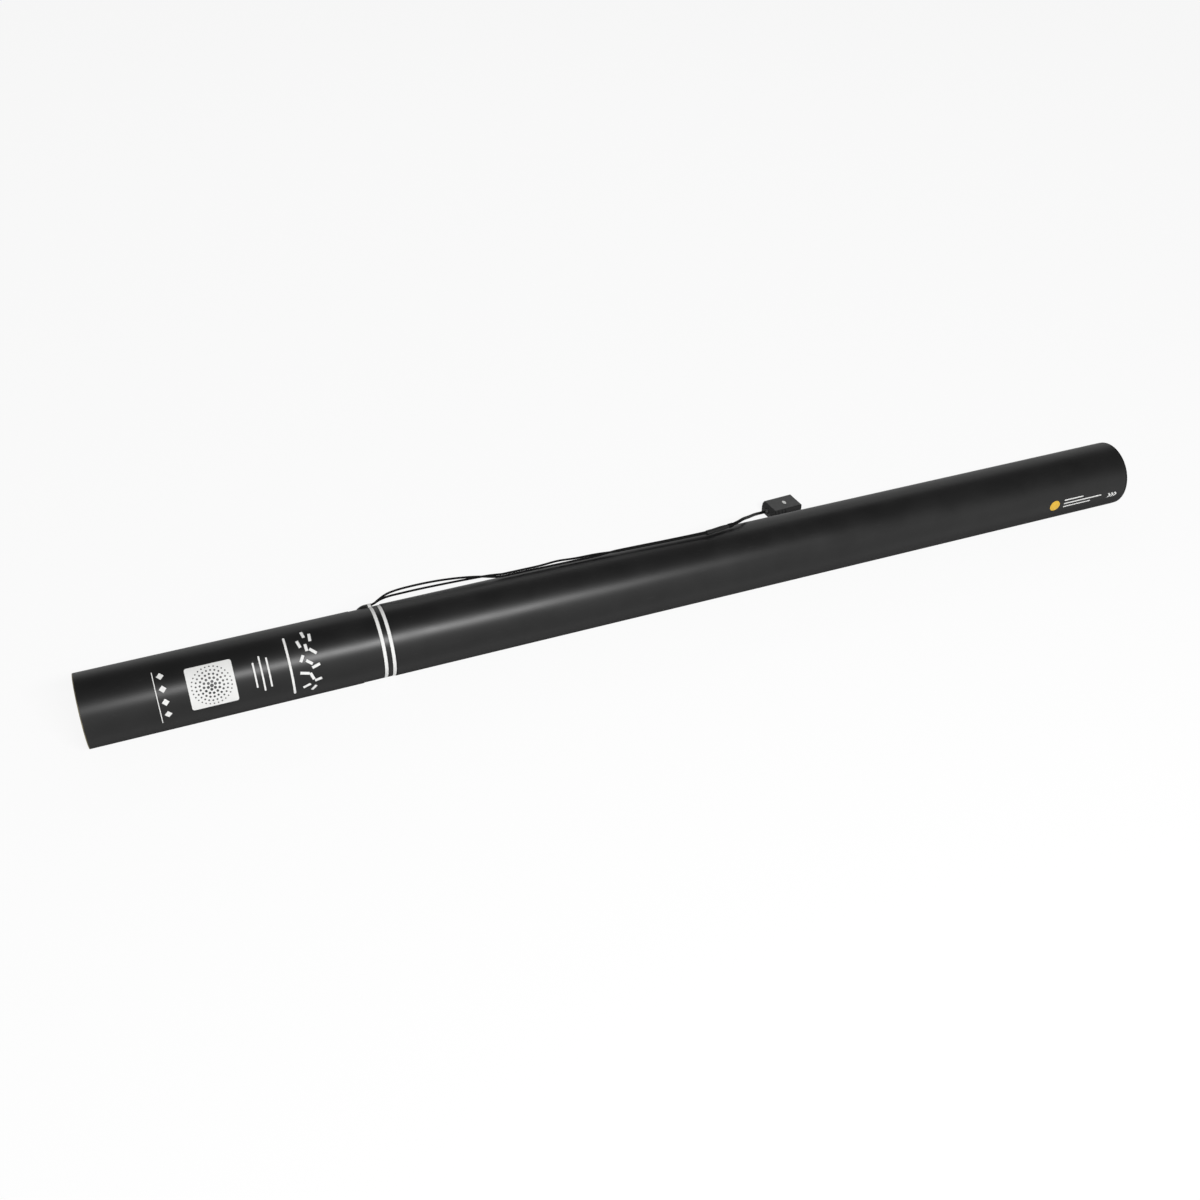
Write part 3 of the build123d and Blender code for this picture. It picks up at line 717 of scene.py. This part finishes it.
def base_rules():
    """Rules that run round the barrel: a hairline, three short ones of different lengths and a heavy one."""
    arc = -25.9
    hairline = bar(46.9, -26.4, length=36.0, width=0.55)
    short = [bar(station, arc, length, width=1.1, corner=0.5)
             for station, length in ((108.5, 17.0), (113.0, 24.0), (117.5, 20.0))]
    heavy = bar(131.2, arc, length=42.0, width=1.5, corner=0.7)
    return [hairline, *short, heavy]


def scattered_slips():
    """A strip of slip shapes round the barrel, each at an angle of its own."""
    strip_station = 143.6
    strip_sway = 4.6
    first_arc = -5.6
    spacing = 3.3
    width = 1.9
    scatter = random.Random(11)
    slips = []
    for index in range(13):
        station = strip_station + strip_sway * math.sin(index * 2.1)
        length = 4.6 + 1.4 * scatter.random()
        tilt = scatter.uniform(-80, 80)
        slips.append(bar(station, first_arc - index * spacing, length, width, tilt=tilt))
    return slips


def dotted_burst(station, arc):
    """Five rings of dots, smaller outward, each ring turned a little, round a dot in the middle."""
    ring_step = 2.5
    ring_turn = 0.3
    dots = []
    for ring in range(1, 6):
        count = 6 * ring
        size = 2.2 - 0.24 * ring
        reach = ring_step * ring
        for index in range(count):
            turn = 2 * math.pi * index / count + ring * ring_turn
            dots.append(disc(station + reach * math.cos(turn), arc + reach * math.sin(turn), size, 12))
    dots.append(disc(station, arc, size=2.4, points=16))
    return dots


def base_print():
    """The white print of the base end: a panel with a dotted burst, a strip of scattered slips, and rules."""
    panel_station = 81.0
    panel_arc = -25.7
    panel = bar(panel_station, panel_arc, length=28.8, width=29.6, corner=1.6)
    marks = [panel, *diamond_row(), *base_rules(), *scattered_slips()]
    printed("base_print", marks, wrap_radius, white_print, "printed_wrap")
    dots = dotted_burst(panel_station, panel_arc)
    printed("panel_dots", dots, wrap_radius, black_print, "printed_wrap", layer=2)


def arrowhead(nose, arc):
    """An arrowhead that points to the muzzle."""
    half_width = 2.0
    sweep = 1.9
    weight = 1.6
    tail = nose - sweep - weight
    return [(nose, arc), (nose - sweep, arc + half_width), (tail, arc + half_width), (nose - weight, arc),
            (tail, arc - half_width), (nose - sweep, arc - half_width)]


def muzzle_print():
    """Three arrowheads that point to the muzzle, a round amber mark, and rules."""
    arrow_arc = -42.85
    first_nose = 786.0
    arrow_spacing = 2.9
    rule_start = 740.0
    rule_width = 1.05
    marks = [arrowhead(first_nose + index * arrow_spacing, arrow_arc) for index in range(3)]
    for arc, length in ((-37.6, 18.0), (-40.6, 36.0), (-43.6, 26.0)):
        marks.append(bar(rule_start + length / 2, arc, length, rule_width, tilt=90, corner=0.5))
    printed("muzzle_print", marks, tube_radius, white_print, "wrapped_board")
    dot = disc(731.5, -40.8, size=9.0, points=40)
    printed("muzzle_dot", [dot], tube_radius, amber_print, "wrapped_board")


def stripe(name, start, end):
    """A white stripe round the band, which follows it up over the tent."""
    band = frame["nodes"]["exit_band"]
    skin = BVHTree.FromPolygons([vertex.co for vertex in band.data.vertices],
                                [polygon.vertices for polygon in band.data.polygons])
    steps = 720
    well_outside = 1.4 * tube_radius
    ring = bmesh.new()
    loops = []
    for index in range(steps):
        turn = 2 * math.pi * index / steps
        spoke = Vector((0, math.sin(turn), math.cos(turn)))
        corners = []
        for station, rise in ((start, -ink_depth), (start, ink_rise), (end, ink_rise), (end, -ink_depth)):
            origin = Vector((base_end + station * MM, 0, axis_height)) + spoke * well_outside
            hit = skin.ray_cast(origin, -spoke)[0]
            corners.append(ring.verts.new(hit + spoke * rise * MM))
        loops.append(corners)
    for first, second in zip(loops, loops[1:] + loops[:1]):
        for index in range(4):
            after = (index + 1) % 4
            ring.faces.new([first[index], first[after], second[after], second[index]])
    return add_piece(name, finished_mesh(name, ring, smooth=False), "printed_wrap", material=white_print)


# Charge

def packet_offset(row, column, index):
    """How far a packet lies ahead of its row's place, or behind it."""
    return packet_shift * ((index * 2 + row + column) % 3 - 1)


def add_slip(stack, carry, middle, centre, height, chance):
    """Adds a thin foil slip, turned, nudged and bowed a little by chance."""
    turn = math.radians(chance.uniform(-slip_turn, slip_turn))
    middle += chance.uniform(-slip_nudge, slip_nudge)
    bow = chance.uniform(-slip_bow, slip_bow)
    half_width = slip_width / 2 - slip_margin
    corners = []
    for step in range(slip_segments + 1):
        along = (step / slip_segments - 0.5) * slip_length
        lift = height + bow * (1 - (2 * along / slip_length) ** 2)
        for across in (-half_width, half_width):
            x = middle + along * math.cos(turn) - across * math.sin(turn)
            y = centre + along * math.sin(turn) + across * math.cos(turn)
            for side in (-slip_thickness / 2, slip_thickness / 2):
                corners.append(stack.verts.new(carry @ (Vector((x, y, lift + side)) * MM)))
    ring = (0, 2, 3, 1)
    for step in range(slip_segments):
        here = corners[4 * step:]
        ahead = corners[4 * step + 4:]
        for first, second in zip(ring, ring[1:] + ring[:1]):
            stack.faces.new([here[first], here[second], ahead[second], ahead[first]])
    stack.faces.new([corners[each] for each in ring])
    stack.faces.new([corners[4 * slip_segments + each] for each in reversed(ring)])


def slip_stack(row):
    """A row of the charge: two columns of foil slips, in packets that are shifted a little lengthways."""
    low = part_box(f"confetti_row_{row + 1}")[0]
    columns = (-1, 1)
    offsets = [packet_offset(row, column, index) for column in columns for index in range(packets)]
    start = low.x / MM - min(offsets)
    chance = random.Random(100 + row)
    carry = Matrix.Translation((0, 0, axis_height)) @ Matrix.Rotation(-exit_turn, 4, "X")
    stack = bmesh.new()
    for column in columns:
        centre = column * slip_width / 2
        for index in range(packets):
            middle = start + packet_offset(row, column, index) + slip_length / 2
            for layer in range(slips_per_packet):
                height = (index - packets / 2) * packet_height + (layer + 0.5) * slip_spacing
                add_slip(stack, carry, middle, centre, height, chance)
    name = f"foil_slips_{row + 1}"
    piece = add_piece(name, finished_mesh(name, stack, smooth=False), "red_foil", "charge")
    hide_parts(f"confetti_row_{row + 1}")


def soft_disc(name, node, body, slot, edge, roughness, hollow=None):
    """A soft round piece with eased edges and an uneven skin, hollowed from its rear to a (wall, depth)."""
    low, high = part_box(node)
    radius = (high.y - low.y) / 2
    ease = edge * MM
    steps = 6
    easing = []
    for step in range(steps + 1):
        turn = math.pi / 2 * step / steps
        easing.append((ease * (1 - math.sin(turn)), radius - ease * (1 - math.cos(turn))))
    if hollow:
        wall, depth = hollow
        inner = radius - wall * MM
        floor = low.x + depth * MM
        rear = [(floor, 0.0), (floor, inner), (low.x + ease, inner), (low.x, inner + ease)]
    else:
        rear = [(low.x, 0.0)]
    rear_edge = [(low.x + inset, reach) for inset, reach in reversed(easing)]
    front_edge = [(high.x - inset, reach) for inset, reach in easing]
    profile = [*rear, *rear_edge, *front_edge, (high.x, 0.0)]

    def uneven(along, turn):
        lump_length = 1.7
        lumps_round = 9
        spot = (along / (lump_length * MM), lumps_round * math.cos(turn), lumps_round * math.sin(turn))
        return roughness * MM * (noise.noise(spot) - 1)

    piece = add_piece(name, turned(name, profile, segments=96, ripple=uneven), slot, body)
    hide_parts(node)


# Plug

def plug_mark():
    """A small pale oval mark on the plug's top face."""
    low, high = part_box("plug_shell_top")
    middle = (low + high) / 2
    half_length = 2.4
    flatness = 0.55
    ahead = 2.2
    sunk = 0.05
    rise = 0.12
    yaw = math.radians(3.4)
    points = 24
    mark = bmesh.new()
    loops = []
    for level in (high.z - sunk * MM, high.z + rise * MM):
        loop = []
        for index in range(points):
            turn = 2 * math.pi * index / points
            x = half_length * MM * math.cos(turn) * flatness
            y = half_length * MM * math.sin(turn)
            loop.append(mark.verts.new((middle.x + x * math.cos(yaw) - y * math.sin(yaw) + ahead * MM,
                                        middle.y + x * math.sin(yaw) + y * math.cos(yaw), level)))
        mark.faces.new(loop)
        loops.append(loop)
    lower, upper = loops
    for index in range(points):
        after = (index + 1) % points
        mark.faces.new([lower[index], lower[after], upper[after], upper[index]])
    mesh = finished_mesh("plug_mark", mark, smooth=False)
    add_piece("plug_mark", mesh, "black_plastic", material=white_print)


# Floor, light and camera

def white_floor():
    """A wide floor that is white to the camera and in reflections, and lit by the lamps otherwise."""
    size = 12.0
    glow_share = 0.9
    lit_grey = grey(0.86)
    floor = bmesh.new()
    corners = [(-size, -size), (size, -size), (size, size), (-size, size)]
    floor.faces.new([floor.verts.new((x, y, 0)) for x, y in corners])
    mesh = finished_mesh("floor", floor, smooth=False)
    piece = bpy.data.objects.new("floor", mesh)
    bpy.context.scene.collection.objects.link(piece)
    material = bpy.data.materials.new("floor")
    material.use_nodes = True
    tree = material.node_tree
    tree.nodes.clear()
    path = tree.nodes.new("ShaderNodeLightPath")
    seen = path.outputs["Is Camera Ray"]
    for other in ("Is Glossy Ray", "Is Transmission Ray"):
        either = tree.nodes.new("ShaderNodeMath")
        either.operation = "MAXIMUM"
        tree.links.new(seen, either.inputs[0])
        tree.links.new(path.outputs[other], either.inputs[1])
        seen = either.outputs[0]
    share = tree.nodes.new("ShaderNodeMath")
    share.operation = "MULTIPLY"
    share.inputs[1].default_value = glow_share
    tree.links.new(seen, share.inputs[0])
    lit = tree.nodes.new("ShaderNodeBsdfDiffuse")
    lit.inputs["Color"].default_value = (*lit_grey, 1)
    glow = tree.nodes.new("ShaderNodeEmission")
    glow.inputs["Color"].default_value = (1, 1, 1, 1)
    mixed = tree.nodes.new("ShaderNodeMixShader")
    tree.links.new(share.outputs[0], mixed.inputs[0])
    tree.links.new(lit.outputs[0], mixed.inputs[1])
    tree.links.new(glow.outputs[0], mixed.inputs[2])
    output = tree.nodes.new("ShaderNodeOutputMaterial")
    tree.links.new(mixed.outputs[0], output.inputs["Surface"])
    mesh.materials.append(material)


def studio_world():
    """A pale wall round the horizon under a dim ceiling."""
    wall_top = 0.15
    ceiling_edge = 0.62
    wall_level = 0.93
    ceiling_level = 0.10
    world = bpy.data.worlds.new("studio")
    bpy.context.scene.world = world
    world.use_nodes = True
    tree = world.node_tree
    place = tree.nodes.new("ShaderNodeTexCoord")
    split = tree.nodes.new("ShaderNodeSeparateXYZ")
    tree.links.new(place.outputs["Generated"], split.inputs[0])
    fade = tree.nodes.new("ShaderNodeMapRange")
    fade.interpolation_type = "SMOOTHSTEP"
    for index, value in enumerate((wall_top, ceiling_edge, wall_level, ceiling_level), start=1):
        fade.inputs[index].default_value = value
    tree.links.new(split.outputs[2], fade.inputs[0])
    background = tree.nodes["Background"]
    tree.links.new(fade.outputs[0], background.inputs["Color"])
    background.inputs["Strength"].default_value = 1.0


def area_light(name, place, target, width, height, power):
    data = bpy.data.lights.new(name, "AREA")
    data.shape = "RECTANGLE"
    data.size = width
    data.size_y = height
    data.energy = power
    lamp = bpy.data.objects.new(name, data)
    lamp.location = place
    lamp.rotation_euler = (Vector(target) - Vector(place)).to_track_quat("-Z", "Y").to_euler()
    bpy.context.scene.collection.objects.link(lamp)


def studio_lights():
    """A key in front and a weak strip behind, both over the barrel."""
    key_distance = 1.5
    key_height = math.radians(37.5)
    key = (0.0, -key_distance * math.cos(key_height), axis_height + key_distance * math.sin(key_height))
    area_light("key", key, (-0.1, 0, axis_height), width=0.60, height=0.16, power=22.0)
    back_distance = 1.6
    back_height = math.radians(38)
    back = (0.5, back_distance * math.cos(back_height), axis_height + back_distance * math.sin(back_height))
    area_light("back", back, (0.1, 0, axis_height), width=1.6, height=0.25, power=2.2)


def photo_camera():
    data = bpy.data.cameras.new("photo")
    data.lens = camera_lens
    data.sensor_width = sensor_width
    camera = bpy.data.objects.new("photo", data)
    level = math.cos(camera_pitch)
    look = Vector((math.sin(camera_yaw) * level, math.cos(camera_yaw) * level, -math.sin(camera_pitch)))
    right = Vector((math.cos(camera_yaw), -math.sin(camera_yaw), 0))
    up = right.cross(look)
    matrix = Matrix((right, up, -look)).transposed().to_4x4()
    matrix.translation = camera_place
    camera.matrix_world = matrix
    bpy.context.scene.collection.objects.link(camera)
    bpy.context.scene.camera = camera


photo_camera()
dress_frame()
lead_pieces()
base_print()
muzzle_print()
for number, start in enumerate(stripe_starts, start=1):
    stripe(f"stripe_{number}", start, start + stripe_width)
for row in range(charge_rows):
    slip_stack(row)
soft_disc("foam_wad", "pusher_wad", "charge", "foam", edge=0.8, roughness=0.12, hollow=(3.2, 13.0))
soft_disc("felt_pad", "wad_felt", "charge", "felt", edge=0.9, roughness=0.2)
soft_disc("foam_pad", "cylinder_pad", "cannon", "foam", edge=0.7, roughness=0.1)
plug_mark()
white_floor()
studio_world()
studio_lights()
bpy.context.scene.view_settings.view_transform = "Standard"
